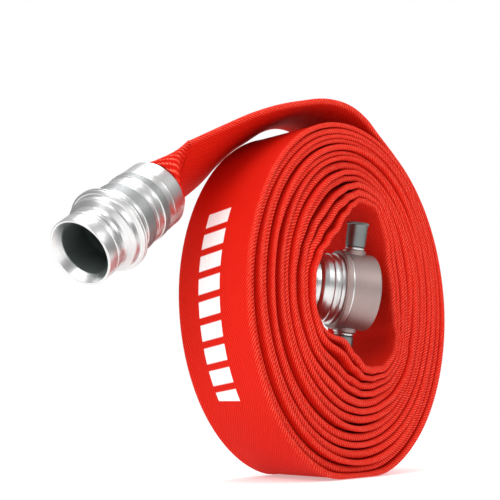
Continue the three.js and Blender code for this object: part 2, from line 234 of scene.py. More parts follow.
FREE_ROUTE = [  # x, y, z in millimetres, and the twist in degrees
    (48, 0, 402, 0), (26, 0, 414, 1), (1, 0, 421, 2), (-26, 1, 421, 4), (-54, 3, 414, 8), (-82, 7, 401, 14),
    (-110, 12, 386, 20), (-138, 16, 367, 27), (-168, 19, 344, 34),
]


# %% The couplings' places
def direction(yaw, pitch):
    level = math.cos(math.radians(pitch))
    turn = math.radians(yaw)
    return Vector((math.cos(turn) * level, math.sin(turn) * level, math.sin(math.radians(pitch))))


MALE_MOUTH = Vector((-345, 6, 216)) * MM
MALE_AXIS = direction(8, 36)  # from the mouth towards the hose
MALE_TWIST = 40
MALE_NECK_END = 165 * MM  # where the hose is flat again, behind the mouth
FEMALE_RING = Vector((15, -15, 213)) * MM
FEMALE_AXIS = direction(-31, -5)  # towards the mouth
LUG_LEAN = 10
LUG_ALONG = 12 * MM


def basis(x, y, z, place):
    made = Matrix((x, y, z)).transposed().to_4x4()
    made.translation = place
    return made


def male_frame():
    out = -MALE_AXIS
    side = Vector((0, 0, 1)).cross(out).normalized()
    return basis(out.cross(side), -side, out, MALE_MOUTH)


def female_frame():
    side = Vector((0, 0, 1)).cross(FEMALE_AXIS).normalized()
    up = FEMALE_AXIS.cross(side)
    lean = math.radians(LUG_LEAN)
    x = up * math.cos(lean) - side * math.sin(lean)
    return basis(x, FEMALE_AXIS.cross(x), FEMALE_AXIS, FEMALE_RING)


def lug_frame(side):
    """Local Z runs out along one of the two plungers."""
    turned_out = Matrix.Rotation(side * math.pi / 2, 4, "Y")
    return female_frame() @ Matrix.Translation((0, 0, LUG_ALONG)) @ turned_out


print("female axis", tuple(round(c, 3) for c in FEMALE_AXIS))

# %% [markdown]
# ## Red hose finish
# The jacket is woven, and the red rubber cover keeps its twill: fine ribs that cross the hose on a slant.
# A UV map in metres along and around the hose carries them, because a pattern in space would slide through
# the turns. The rib crests are lighter, partly from wear and partly as a painted highlight, most of all along
# the two folded edges, and the grooves between the ribs are darker with painted shade.

# %% Hose material
GIRTH = 2 * HOSE_WIDTH
RIBS_AROUND = 78
RIB_LENGTH_PITCH = 4.0 * MM
WEFT_AROUND = 130
WEFT_LENGTH_PITCH = 1.9 * MM
PRINT_BAR_PITCH = 24 * MM
PRINT_BAR = (0.12, 0.80)  # as shares of the pitch
PRINT_BAND = (GIRTH * 0.655, GIRTH * 0.80)  # around the hose
PRINT_SLANT = 6.0
RED_DEEP, RED_BRIGHT = (0.62, 0.009, 0.0025, 1), (0.71, 0.013, 0.004, 1)
# painted shade: the darker red that the grooves between the ribs are given
RED_GROOVE_SHADE = (0.40, 0.004, 0.001, 1)
# the lighter crest colour: partly wear, partly a painted highlight where the crests catch the light
WORN_CREST_AND_GLINT = (0.93, 0.34, 0.22, 1)
PRINT_WHITE = (0.90, 0.88, 0.87, 1)
LINING_BLACK = (0.012, 0.014, 0.013, 1)


def new_material(name):
    material = bpy.data.materials.new(name)
    material.use_nodes = True
    tree = material.node_tree
    shader = tree.nodes["Principled BSDF"]
    return material, shader, Wire(tree, shader.outputs[0])


def hose_red(print_start, print_end, lined_before, lined_after):
    """Red cover between the two rims, black lining beyond them, and bars over the printed stretch."""
    material, shader, wire = new_material("hose_red")
    uv = wire.node("ShaderNodeTexCoord", {}, {}, "UV")
    along, around, _ = uv.parts()
    place = wire.node("ShaderNodeTexCoord", {}, {}, "Object")
    rib = (along / RIB_LENGTH_PITCH + around * (RIBS_AROUND / GIRTH)).wave()
    weft = (along / WEFT_LENGTH_PITCH - around * (WEFT_AROUND / GIRTH)).wave()
    cloud = place.speckle(9.0, 3.0)
    grain = place.speckle(420.0, 2.0)
    edge = (around / (GIRTH / 2)).wave()
    fold = ((edge - 0.975) / 0.025).clamped()
    crest = (rib * 0.75 + weft * 0.25) * (0.55 + grain * 0.9)
    # lighter rib crests, strongest at the folded edges: partly wear, partly a painted highlight
    worn_and_glint = ((crest - 0.62) * 2.2).clamped() * (0.05 + fold * 0.4)
    bar = (along / PRINT_BAR_PITCH + around * PRINT_SLANT) % 1.0
    printed = bar.between(*PRINT_BAR, 0.05) * around.between(*PRINT_BAND, 0.8 * MM)
    printed = printed * along.between(print_start, print_end, 1 * MM) * (0.86 + grain * 0.2).clamped()
    base = mixed((cloud * 1.6 - 0.35).clamped(), RED_DEEP, RED_BRIGHT)
    # painted shade in the grooves between the ribs
    base = mixed((1 - rib) * 0.55, base, RED_GROOVE_SHADE)
    # partly wear, partly a painted highlight on the crests
    base = mixed(worn_and_glint, base, WORN_CREST_AND_GLINT)
    base = mixed(printed, base, PRINT_WHITE)
    base = mixed(along.between(lined_before, lined_after, 1 * MM), LINING_BLACK, base)
    relief = rib * 0.75 + weft * 0.2 + grain * 0.1
    plug(shader, "Base Color", base)
    plug(shader, "Roughness", 0.62 - worn_and_glint * 0.12 + cloud * 0.06)
    plug(shader, "Specular IOR Level", 0.06)
    plug(shader, "Normal", relief.bump(0.5, 0.35 * MM))
    return material


# %% [markdown]
# ## Metal finishes
# The male coupling and both tails are turned and polished, so their marks run round the axis. Every turned
# piece has a UV map of its angle and its distance along the profile, and a noise that is stretched round
# the axis gives the tool marks. The female body is bead-blasted: a fine even grain without direction.

# %% Aluminium, steel and rubber
def darker(colour, share):
    return tuple(c * share for c in colour) + (1,)


def turned_metal(name, colour, rough, marks, stain):
    material, shader, wire = new_material(name)
    uv = wire.node("ShaderNodeTexCoord", {}, {}, "UV")
    angle, travel, _ = uv.parts()
    place = wire.node("ShaderNodeTexCoord", {}, {}, "Object")
    rings_at = wire.node("ShaderNodeCombineXYZ", {}, {0: angle * 2.0, 1: travel * 2600.0, 2: 0.0})
    rings = rings_at.speckle(1.0, 3.0)
    cloud = place.speckle(34.0, 4.0)
    fine = place.speckle(900.0, 2.0)
    mask = (cloud * 2.4 - 0.9).clamped()
    streak = (rings * 2.6 - 0.9).clamped()
    base = mixed(mask * stain, (*colour, 1), darker(colour, 0.62))
    plug(shader, "Base Color", mixed(streak * 0.5, base, darker(colour, 0.6)))
    plug(shader, "Metallic", 1.0)
    plug(shader, "Roughness", rough + rings * 0.1 + mask * 0.08 + fine * 0.04)
    height = rings * 0.7 + fine * 0.3
    plug(shader, "Normal", height.bump(marks, 0.12 * MM))
    return material


def blasted_metal(name, colour, rough, grain_scale, depth):
    material, shader, wire = new_material(name)
    place = wire.node("ShaderNodeTexCoord", {}, {}, "Object")
    grain = place.speckle(grain_scale, 4.0)
    cloud = place.speckle(26.0, 4.0)
    pits = wire.node("ShaderNodeTexVoronoi", {}, {"Vector": place, "Scale": grain_scale * 0.6}, "Distance")
    mask = (cloud * 2.2 - 0.7).clamped()
    plug(shader, "Base Color", mixed(mask * 0.6 + grain * 0.3, (*colour, 1), darker(colour, 0.78)))
    plug(shader, "Metallic", 1.0)
    plug(shader, "Roughness", rough + grain * 0.12 - mask * 0.06)
    plug(shader, "Normal", (grain * 0.6 + pits * 0.4).bump(depth, 0.2 * MM))
    return material


def seal_rubber():
    material, shader, wire = new_material("seal_rubber")
    place = wire.node("ShaderNodeTexCoord", {}, {}, "Object")
    grain = place.speckle(700.0, 3.0)
    bloom = place.speckle(45.0, 3.0)
    plug(shader, "Base Color", mixed(bloom, (0.012, 0.012, 0.013, 1), (0.05, 0.049, 0.047, 1)))
    plug(shader, "Roughness", 0.55 + grain * 0.2)
    plug(shader, "Normal", grain.bump(0.3, 0.1 * MM))
    return material


def pale_floor():
    material, shader, wire = new_material("pale_floor")
    place = wire.node("ShaderNodeTexCoord", {}, {}, "Object")
    cloud = place.speckle(1.5, 2.0)
    plug(shader, "Base Color", mixed(cloud, (0.90, 0.90, 0.90, 1), (0.93, 0.93, 0.93, 1)))
    plug(shader, "Roughness", 0.9)
    plug(shader, "Emission Color", (1, 1, 1, 1))
    plug(shader, "Emission Strength", 0.36)
    return material


POLISHED = turned_metal("polished_aluminium", (0.66, 0.665, 0.66), rough=0.22, marks=0.10, stain=0.7)
KNURLED = blasted_metal("knurled_aluminium", (0.34, 0.35, 0.35), rough=0.42, grain_scale=900.0, depth=0.2)
# a rougher bored finish, whose darker colour is painted shade inside the bore
BORED_AND_SHADED = blasted_metal("bored_aluminium_shaded", (0.40, 0.45, 0.44), rough=0.42, grain_scale=700.0, depth=0.1)
# the cast body's pinkish tint is a painted reflection of the red hose on grey aluminium
CAST_WITH_RED_REFLECTION = blasted_metal("cast_aluminium", (0.36, 0.285, 0.27), rough=0.50, grain_scale=520.0, depth=0.35)
KNOB = blasted_metal("knob_grey", (0.20, 0.215, 0.21), rough=0.36, grain_scale=760.0, depth=0.18)
STEEL = turned_metal("steel", (0.72, 0.73, 0.74), rough=0.18, marks=0.3, stain=0.3)
RUBBER = seal_rubber()
print("materials:", len(bpy.data.materials))


# %% Floor
FLOOR_HALF = 9.0
FLOOR_DROP = 0.2 * MM


def lay_floor():
    half, z = FLOOR_HALF, -FLOOR_DROP
    mesh = bpy.data.meshes.new("floor")
    corners = [(-half, -half, z), (half, -half, z), (half, half, z), (-half, half, z)]
    mesh.from_pydata(corners, [], [(0, 1, 2, 3)])
    mesh.materials.append(pale_floor())
    floor = bpy.data.objects.new("floor", mesh)
    bpy.context.scene.collection.objects.link(floor)


lay_floor()

# %% [markdown]
# ## The path of the hose
# The whole hose is one flat tube on one path, so its shape follows a rule: an elliptical spiral from the
# outline of the eye to the outline of the tread. A hand-wound roll isn't even, so turns bunch in threes,
# drift sideways, and are pressed flat where the roll stands. The path holds a station every few degrees.


# %% Stations of the hose
class Station:
    """One place on the hose: its middle, the way to its near edge and its inner face, and its section."""

    def __init__(self, at, across, out, width=1.0, thick=1.0, bead=HOSE_WALL, opened=0.0):
        self.at, self.across, self.out = at, across, out
        self.width, self.thick, self.bead, self.opened = width, thick, bead, opened
        self.travel = 0.0


def oval(centre, half, angle, bulge=1.0):
    turn = math.radians(angle)
    across, up = half[0] * bulge * math.cos(turn), half[1] * bulge * math.sin(turn)
    return Vector((centre[0] + across, 0, centre[1] + up))


def angle_from(angle, centre):
    """The angle past centre, from -180 to 180."""
    return (angle - centre + 180) % 360 - 180


def bell(value, centre, spread):
    return math.exp(-((value - centre) / spread) ** 2)


BUNCH_TURNS = 3.1  # turns from one bunch to the next
GROUND_SOFT = 4 * MM
EYE_SHAPE = [  # degrees, and the innermost turn's distance as a share of the plain oval's
    (-164, 1.04), (-148, 1.02), (-117, 0.81), (-100, 0.89), (-84, 1.01), (-72, 1.06), (-55, 1.15),
    (-41, 1.18), (-32, 1.13), (-25, 1.0), (-9, 0.88), (20, 0.80), (40, 0.88), (64, 0.95), (75, 0.90),
    (86, 0.87), (98, 0.77), (112, 0.67), (135, 0.61), (154, 0.72), (167, 0.88), (180, 1.0), (196, 1.04),
]


def eye_shape(angle):
    """The share at any angle, eased from one entry to the next."""
    start = EYE_SHAPE[0][0]
    angle = (angle - start) % 360 + start
    for (low, before), (high, after) in zip(EYE_SHAPE, EYE_SHAPE[1:]):
        if angle <= high:
            share = (angle - low) / (high - low)
            return before + (after - before) * share * share * (3 - 2 * share)
    return 1.0


def softly_above(value, floor, soft):
    """The larger of the two, with a rounded corner between them."""
    rise = value - floor
    return floor + 0.5 * (rise + math.sqrt(rise * rise + soft * soft))


def wound_at(angle):
    """The middle of the hose at an angle that counts on from turn to turn."""
    share = (angle - FIRST_ANGLE) / WOUND_ANGLE
    turn = (angle - FIRST_ANGLE) / 360
    loose = 0.10 + 0.17 * bell(angle_from(angle, 130), 0, 60)
    settled = min(1.0, turn, (LAST_ANGLE - angle) / 360)
    phase = math.tau * turn / BUNCH_TURNS + 1.3 * math.sin(math.radians(angle) + 0.6)
    shape = eye_shape(angle) - 1
    fade = (1 - share) ** (3 if shape < 0 else 1.6)
    share += settled * loose * math.sin(phase) * BUNCH_TURNS * 360 / WOUND_ANGLE / math.tau
    inner = oval(EYE_CENTRE, EYE_HALF, angle, 1 + shape * fade)
    point = inner.lerp(oval(TREAD_CENTRE, TREAD_HALF, angle), share)
    turns_outside = math.floor((LAST_ANGLE - angle) / 360)
    point.z = softly_above(point.z, HOSE_WALL + turns_outside * FLAT_PITCH, GROUND_SOFT)
    return point


LARGEST_DRIFT = 8.0


def side_drift(angle):
    """How far a turn has slid along the roll's axis: a slow drift, every other turn a little proud, and the
    innermost turns nearer on their left than on their right."""
    turn = math.radians(angle)
    slow = noise.noise(Vector((0.7 * math.cos(turn), 0.7 * math.sin(turn), angle / 560)))
    inner = (LAST_ANGLE - angle) / WOUND_ANGLE
    lean = inner**4 * (4.5 * math.cos(turn) - 1.5)
    return max(-LARGEST_DRIFT, min(LARGEST_DRIFT, 5 * slow + 3 * proud(angle) + lean)) * MM


def proud(angle):
    """From -1 to 1: turns alternate, most of all on the left."""
    turn = math.radians(angle)
    wander = noise.noise(Vector((math.cos(turn), math.sin(turn), angle / 900)))
    strength = 0.45 + 0.55 * bell(angle_from(angle, 185), 0, 80)
    return strength * math.sin(math.pi * angle / 360 + 1.6 * wander)


def framed(at, along, twist=0.0):
    """A place on the path with the way to its near edge and the way out of its inner face."""
    near = Vector((0, -1, 0))
    level = (near - along * near.dot(along)).normalized()
    above = along.cross(level).normalized()
    across = level * math.cos(twist) + above * math.sin(twist)
    return at, across, across.cross(along).normalized()


BEAD_LARGEST = 3.9 * MM
BEAD_GAP = 0.1 * MM
EASE_ANGLE = 60  # over which the first and last turns settle to a plain flat hose


def room_at(angle, at, along):
    """The distance to the nearer of the turns inside and outside."""
    outwards = along.cross(Vector((0, 1, 0)))
    beside = [turn for turn in (angle - 360, angle + 360) if FIRST_ANGLE <= turn <= LAST_ANGLE]
    return min(abs((wound_at(turn) - at).dot(outwards)) for turn in beside)


def wound_stations():
    count = round(WOUND_ANGLE / 360 * STEPS_PER_TURN)
    stations = []
    for i in range(count + 1):
        angle = FIRST_ANGLE + i * (WOUND_ANGLE / count)
        at = wound_at(angle)
        along = (wound_at(min(angle + 1, LAST_ANGLE)) - wound_at(angle - 1)).normalized()
        fuller = 1 + 0.3 * proud(angle)
        bead = min(BEAD_LARGEST, room_at(angle, at, along) / 2) * fuller - BEAD_GAP
        fade = min(1.0, (LAST_ANGLE - angle) / EASE_ANGLE, (angle - FIRST_ANGLE) / EASE_ANGLE)
        inner = (LAST_ANGLE - angle) / WOUND_ANGLE
        place, across, out = framed(at, along, -0.08 * bell(angle_from(angle, -95), 0, 45) * inner**3)
        place = place + Vector((0, side_drift(angle) * fade, 0))
        bead = min(HOSE_WALL + (max(bead, HOSE_WALL) - HOSE_WALL) * fade, max(place.z, HOSE_WALL))
        stations.append(Station(place, across, out, bead=bead))
    return stations


# %% [markdown]
# ## The hose's two ends
# At each coupling the flat tube opens to a round one and slips over the tailpiece. The stations there are
# few and listed one by one, and a smooth curve runs through them. The wall turns in on itself at the end, so
# the hose is hollow where one can look into the coupling.


# %% Smooth runs between listed stations
def curve(values, i, share):
    """Catmull-Rom through values, between the i-th and the next."""
    last = len(values) - 1
    a, b, c, d = (values[min(max(k, 0), last)] for k in (i - 1, i, i + 1, i + 2))
    rise, bend, turn = c - a, 2 * a - 5 * b + 4 * c - d, 3 * b - a - 3 * c + d
    return 0.5 * (2 * b + rise * share + bend * share**2 + turn * share**3)


def smooth_run(stations, steps):
    run = []
    names = ("at", "across", "out", "width", "thick", "opened")
    fields = [[getattr(station, name) for station in stations] for name in names]
    for i in range(len(stations) - 1):
        for k in range(steps):
            at, across, out, *section = (curve(values, i, k / steps) for values in fields)
            width, thick, opened = section
            run.append(Station(at, across.normalized(), out.normalized(), width, thick, opened=opened))
    run.append(stations[-1])
    return run


OPENED_AT = 9  # how much thicker than flat, in millimetres, a section is when it is a full ellipse


def half_sizes(half_width, half_thick):
    """Half sizes in millimetres as shares of the flat hose, and how far the section has opened."""
    opened = min(1.0, (half_thick - HOSE_WALL / MM) / OPENED_AT)
    return half_width * MM / (HOSE_WIDTH / 2), half_thick * MM / HOSE_WALL, opened


ROUND_R = 33.2
WALLS_MEET = 1.5
MALE_END = [  # depth behind the mouth, half width and half thickness, in millimetres
    (165, 52, 2.4), (156, 51.5, 5), (147, 50, 8.5), (139, 46.5, 15.5), (132, 41, 24), (127.5, 35, 31.4),
    (124.5, ROUND_R, ROUND_R), (58, ROUND_R, ROUND_R),
]


def male_end_stations():
    stations = []
    for depth, half_width, half_thick in MALE_END:
        width, thick, opened = half_sizes(half_width, half_thick)
        place = MALE_MOUTH + MALE_AXIS * depth * MM
        at, across, out = framed(place, -MALE_AXIS, math.radians(MALE_TWIST))
        stations.append(Station(at, across, out, width, thick, opened=opened))
    return stations


def hollowed(run):
    """Adds the rim at the hose's open end and the inner wall back to where the walls meet."""
    inner = []
    for outer in reversed(run):
        half_width = (outer.width * HOSE_WIDTH / 2 - HOSE_WALL) / MM
        half_thick = (outer.thick * HOSE_WALL - HOSE_WALL) / MM
        if half_thick < WALLS_MEET:
            break
        width, thick, _ = half_sizes(half_width, half_thick)
        inner.append(Station(outer.at, outer.across, outer.out, width, thick, opened=outer.opened))
    return run + inner


LIFT_STEPS = 8
FREE_BEAD = 0.9 * MM  # how much thicker than the flat wall the free hose's edges are
FREE_BEAD_STEPS = 12


def free_stations():
    """From the end of the outermost turn over the liftoff and down to the male coupling."""
    places = [wound_at(LAST_ANGLE - 12), wound_at(LAST_ANGLE)]
    places += [Vector(stop[:3]) * MM for stop in FREE_ROUTE]
    places.append(MALE_MOUTH + MALE_AXIS * MALE_NECK_END)
    twists = [0, 0] + [stop[3] for stop in FREE_ROUTE] + [MALE_TWIST]
    points, turns = [], []
    for i in range(1, len(places) - 1):
        for k in range(LIFT_STEPS):
            points.append(curve(places, i, k / LIFT_STEPS))
            turns.append(curve(twists, i, k / LIFT_STEPS))
    points.append(places[-1])
    turns.append(twists[-1])
    stations = []
    last = len(points) - 1
    for i, point in enumerate(points):
        ahead, behind = points[min(i + 1, last)], points[i - 1] if i else places[0]
        along = -MALE_AXIS if i == last else (ahead - behind).normalized()
        fade = min(1.0, i / FREE_BEAD_STEPS, (last - i) / FREE_BEAD_STEPS)
        at, across, out = framed(point, along, math.radians(turns[i]))
        stations.append(Station(at, across, out, bead=HOSE_WALL + FREE_BEAD * fade))
    return stations


def female_end_stations():
    """From the round end on the tailpiece back to the start of the innermost turn."""
    start = wound_at(FIRST_ANGLE)
    forward = (wound_at(FIRST_ANGLE + 1) - start).normalized()
    side = Vector((FEMALE_AXIS.y, -FEMALE_AXIS.x, 0)).normalized()
    near = Vector((0, -1, 0))

    def in_plane(angle):
        return Vector((math.cos(math.radians(angle)), 0, math.sin(math.radians(angle))))

    stops = [  # place, direction, half width and half thickness in millimetres, share turned to the coupling
        (start, -forward, 52, 2.4, 0.0),
        (Vector((-63, 5, 184)) * MM, in_plane(92), 50.5, 6.5, 0.2),
        (Vector((-59, 12, 201)) * MM, in_plane(62), 46, 15.5, 0.5),
        (Vector((-52, 20, 212.5)) * MM, in_plane(24), 37.5, 26.5, 0.9),
        (FEMALE_RING - FEMALE_AXIS * 58 * MM, FEMALE_AXIS, ROUND_R, ROUND_R, 1.0),
        (FEMALE_RING - FEMALE_AXIS * 38 * MM, FEMALE_AXIS, ROUND_R, ROUND_R, 1.0),
    ]
    stations = []
    for at, along, half_width, half_thick, turn in stops:
        across = near.lerp(side, turn)
        across = (across - along * across.dot(along)).normalized()
        out = across.cross(along).normalized()
        width, thick, opened = half_sizes(half_width, half_thick)
        stations.append(Station(at, across, out, width, thick, opened=opened))
    return stations


# %% Distance along the hose
def measured(stations, start=0.0):
    """Fills in how far along the hose each station lies."""
    stations[0].travel = start
    for before, after in zip(stations, stations[1:]):
        after.travel = before.travel + (after.at - before.at).length
    return stations


female_outer = smooth_run(female_end_stations(), 5)
female_run = hollowed(female_outer)
female_run.reverse()
for station in female_run:
    station.out = -station.out
wound_run = wound_stations()
lifted = free_stations()
male_outer = smooth_run(male_end_stations(), 6)
wound_all = measured(female_run + wound_run[1:] + lifted[1:LIFT_STEPS + 1])
free_all = measured(lifted[LIFT_STEPS:] + hollowed(male_outer)[1:], wound_all[-1].travel)
FEMALE_RIM = wound_all[len(female_run) - len(female_outer)].travel
MALE_RIM = free_all[len(lifted) - LIFT_STEPS + len(male_outer) - 2].travel
print("hose length", round(free_all[-1].travel, 3), "stations", len(wound_all), len(free_all))

# %% [markdown]
# ## Sweeping the hose
# A flat tube's section is a dog-bone: two walls that lie on each other, and a fold at each edge that stays
# a little thick. Geometry Nodes sweep it: a grid has one row for each station and one column for each point
# of the section, and every grid point is moved to its place from the two sets of values.

# %% The section's points
QUARTER = [  # share of the straight width, bead across, bead out, wall
    (1, 1, 0, 0), (1, 0.866, 0.5, 0), (1, 0.5, 0.866, 0), (1, 0, 1, 0), (1, -0.9, 0.8, 0.2),
    (1, -1.9, 0.35, 0.65), (1, -3.2, 0.05, 0.95), (0.6, 0, 0, 1),
]


def section_points():
    upper = QUARTER + [(0, 0, 0, 1)] + [(-a, -b, c, d) for a, b, c, d in reversed(QUARTER)]
    return upper + [(a, b, -c, -d) for a, b, c, d in reversed(upper[1:-1])]


def point_cloud(name, places, fields):
    """A mesh of loose points with named vector attributes."""
    mesh = bpy.data.meshes.new(name)
    mesh.from_pydata([tuple(p) for p in places], [], [])
    for field, values in fields.items():
        attribute = mesh.attributes.new(field, "FLOAT_VECTOR", "POINT")
        attribute.data.foreach_set("vector", [c for value in values for c in value])
    made = bpy.data.objects.new(name, mesh)
    bpy.context.scene.collection.objects.link(made)
    return made


def section_cloud():
    points = section_points()
    half = HOSE_WIDTH / 2 - HOSE_WALL
    outline = [Vector((a * half + b * HOSE_WALL, (c + d) * HOSE_WALL)) for a, b, c, d in points]
    runs = [0.0]
    for before, after in zip(outline, outline[1:] + outline[:1]):
        runs.append(runs[-1] + (after - before).length)
    scale = GIRTH / runs[-1]
    angles = [math.tau * i / len(points) for i in range(len(points))]
    return point_cloud("hose_section", [(0, 0, 0)] * len(points), {
        "flat": [(a, b, 0) for a, b, c, d in points],
        "fold": [(c, d, 0) for a, b, c, d in points],
        "ring": [(math.cos(turn), math.sin(turn), run * scale) for turn, run in zip(angles, runs)],
    })


SECTION = section_cloud()
print("section points", len(SECTION.data.vertices))


# %% The sweep as a node tree
def sweep_tree():
    tree = bpy.data.node_groups.new("hose_sweep", "GeometryNodeTree")
    kinds = {"Path": "Geometry", "Section": "Object", "Hose Width": "Float", "Wall": "Float",
             "Girth": "Float", "Finish": "Material"}
    for name, kind in kinds.items():
        tree.interface.new_socket(name, in_out="INPUT", socket_type=f"NodeSocket{kind}")
    tree.interface.new_socket("Hose", in_out="OUTPUT", socket_type="NodeSocketGeometry")
    sockets = tree.nodes.new("NodeGroupInput").outputs
    given = {socket.name: Wire(tree, socket) for socket in sockets if socket.name}
    path = given["Path"]
    section = path.node("GeometryNodeObjectInfo", {}, {"Object": given["Section"]}, "Geometry")
    rows = path.node("GeometryNodeAttributeDomainSize", {}, {0: path}, "Point Count")
    points = path.node("GeometryNodeAttributeDomainSize", {}, {0: section}, "Point Count")
    columns = points + 1
    grid = path.node("GeometryNodeMeshGrid", {}, {"Vertices X": rows, "Vertices Y": columns})
    index = path.node("GeometryNodeInputIndex", {}, {})
    row = index.math("FLOOR", index / columns)
    column = index % columns

    vectors = {"data_type": "FLOAT_VECTOR"}

    def sampled(geometry, name, where):
        if name == "position":
            value = path.node("GeometryNodeInputPosition", {}, {})
        else:
            value = path.node("GeometryNodeInputNamedAttribute", vectors, {"Name": name})
        sockets = {"Geometry": geometry, "Value": value, "Index": where}
        return path.node("GeometryNodeSampleIndex", vectors, sockets)

    at, across, out = (sampled(path, name, row) for name in ("position", "across", "out"))
    width, thick, bead = sampled(path, "size", row).parts()
    opened, travel, present = sampled(path, "state", row).parts()
    flat, fold, ring = (sampled(section, name, column % points) for name in ("flat", "fold", "ring"))
    flat_share, bead_across, _ = flat.parts()
    bead_out, wall_out, _ = fold.parts()
    cosine, sine, run = ring.parts()
    half_width = width * given["Hose Width"] * 0.5
    half_thick = thick * given["Wall"]
    flat_x = flat_share * (half_width - bead) + bead_across * bead
    flat_y = bead_out * bead + wall_out * half_thick
    x = (flat_x + (cosine * half_width - flat_x) * opened) * present
    y = (flat_y + (sine * half_thick - flat_y) * opened) * present
    place = at.plus(across.scaled(x)).plus(out.scaled(y))
    swept = path.node("GeometryNodeSetPosition", {}, {"Geometry": grid, "Position": place})
    seam = column.math("COMPARE", column, points, 0.5)
    around = run + seam * given["Girth"]
    uv = path.node("ShaderNodeCombineXYZ", {}, {0: travel, 1: around, 2: 0.0})
    uv = path.node("GeometryNodeFieldOnDomain", {**vectors, "domain": "POINT"}, {"Value": uv})
    mapped = path.node("GeometryNodeStoreNamedAttribute", {"data_type": "FLOAT2", "domain": "CORNER"},
                       {"Geometry": swept, "Name": "UVMap", "Value": uv})
    merged = path.node("GeometryNodeMergeByDistance", {}, {"Geometry": mapped, "Distance": 0.01 * MM})
    real = path.node("GeometryNodeRealizeInstances", {}, {0: merged})
    done = path.node("GeometryNodeSetMaterial", {}, {"Geometry": real, "Material": given["Finish"]})
    tree.links.new(done.socket, tree.nodes.new("NodeGroupOutput").inputs[0])
    return tree


SWEEP = sweep_tree()
print("sweep nodes", len(SWEEP.nodes))


# %% Running the sweep
def swept_piece(name, stations, material):
    """A hose, or anything else with a round or a flat section, along its stations."""
    ends = [stations[0]] + stations + [stations[-1]]
    present = [0] + [1] * len(stations) + [0]
    cloud = point_cloud(name, [s.at for s in ends], {
        "across": [s.across for s in ends],
        "out": [s.out for s in ends],
        "size": [(s.width, s.thick, s.bead) for s in ends],
        "state": [(s.opened, s.travel, here) for s, here in zip(ends, present)],
    })
    modifier = cloud.modifiers.new("sweep", "NODES")
    modifier.node_group = SWEEP
    values = {"Section": SECTION, "Hose Width": HOSE_WIDTH, "Wall": HOSE_WALL, "Girth": GIRTH,
              "Finish": material}
    for socket in SWEEP.interface.items_tree:
        if socket.name in values:
            modifier[socket.identifier] = values[socket.name]
    shape = bpy.data.meshes.new_from_object(cloud.evaluated_get(bpy.context.evaluated_depsgraph_get()))
    cloud.modifiers.clear()
    cloud.data = shape
    finish_surface(shape)
    print(name, "faces", len(shape.polygons))
    return cloud


SHARP = math.radians(42)


def finish_surface(mesh, sharp=SHARP):
    """Faces out, smooth shading, and hard edges only where the surface really turns a corner."""
    work = bmesh.new()
    work.from_mesh(mesh)
    bmesh.ops.recalc_face_normals(work, faces=work.faces)
    for face in work.faces:
        face.smooth = True
    for edge in work.edges:
        edge.smooth = len(edge.link_faces) == 2 and edge.calc_face_angle(0) < sharp
    work.to_mesh(mesh)
    work.free()


PRINT_ANGLES = (155, 216)  # on the left of the outermost turn


def print_range():
    """Where the printed bars start and end along the hose."""
    first = len(female_run) - 1
    step = WOUND_ANGLE / (len(wound_run) - 1)
    last_turn = LAST_ANGLE - LAST_ANGLE % 360 - 360
    steps = [round((last_turn + angle - FIRST_ANGLE) / step) for angle in PRINT_ANGLES]
    return [wound_all[first + count].travel for count in steps]


HOSE_RED = hose_red(*print_range(), FEMALE_RIM, MALE_RIM)
hose_wound = swept_piece("hose_wound", wound_all, HOSE_RED)
hose_free = swept_piece("hose_free", free_all, HOSE_RED)

# %% [markdown]
# ## Turned pieces
# Everything on a lathe is a profile spun about an axis. The profile is written as radii and places along
# the axis, its corners get a small round edge that catches the light, and the mesh is closed on itself.


# %% Spinning a profile
ROUND_STEPS = 3
ON_AXIS = 0.01  # a radius below this is on the axis, in millimetres
NEARLY_STRAIGHT = -0.985


def eased(profile, radius):
    """The profile with each corner rounded, as far as its two sides leave room."""
    points = [Vector(p) for p in profile]
    result = []
    for i, corner in enumerate(points):
        before, after = points[i - 1], points[(i + 1) % len(points)]
        to_before, to_after = before - corner, after - corner
        if corner.x < ON_AXIS or to_before.normalized().dot(to_after.normalized()) < NEARLY_STRAIGHT:
            result.append(corner)
            continue
        cut = min(radius, to_before.length * 0.4, to_after.length * 0.4)
        start = corner + to_before.normalized() * cut
        end = corner + to_after.normalized() * cut
        for k in range(ROUND_STEPS + 1):
            share = k / ROUND_STEPS
            result.append(start.lerp(corner, share).lerp(corner.lerp(end, share), share))
    return result


def spun(name, profile, place, material, segments=112, radius=0.35, relief=None):
    """A closed solid of revolution about local Z. Sizes are in millimetres. relief(angle, r, z) adds to r."""
    points = eased(profile, radius)
    travel = [0.0]
    for before, after in zip(points, points[1:] + points[:1]):
        travel.append(travel[-1] + (after - before).length * MM)
    work = bmesh.new()
    uv = work.loops.layers.uv.new("UVMap")
    rings = []
    for k in range(segments):
        angle = math.tau * k / segments
        ring = []
        for point in points:
            r = point.x + (relief(angle, point.x, point.y) if relief else 0.0)
            ring.append(work.verts.new((r * MM * math.cos(angle), r * MM * math.sin(angle), point.y * MM)))
        rings.append(ring)
    for k in range(segments):
        near, far = rings[k], rings[(k + 1) % segments]
        for i in range(len(points)):
            j = (i + 1) % len(points)
            if points[i].x < ON_AXIS and points[j].x < ON_AXIS:
                continue
            face = work.faces.new((near[i], far[i], far[j], near[j]))
            places = ((k, i), (k + 1, i), (k + 1, i + 1), (k, i + 1))
            for loop, (turn, step) in zip(face.loops, places):
                loop[uv].uv = (turn / segments, travel[step])
    bmesh.ops.remove_doubles(work, verts=work.verts, dist=1e-6)
    bmesh.ops.dissolve_degenerate(work, edges=work.edges, dist=1e-7)
    mesh = bpy.data.meshes.new(name)
    work.to_mesh(mesh)
    work.free()
    mesh.transform(place)
    mesh.materials.append(material)
    finish_surface(mesh)
    made = bpy.data.objects.new(name, mesh)
    bpy.context.scene.collection.objects.link(made)
    return made


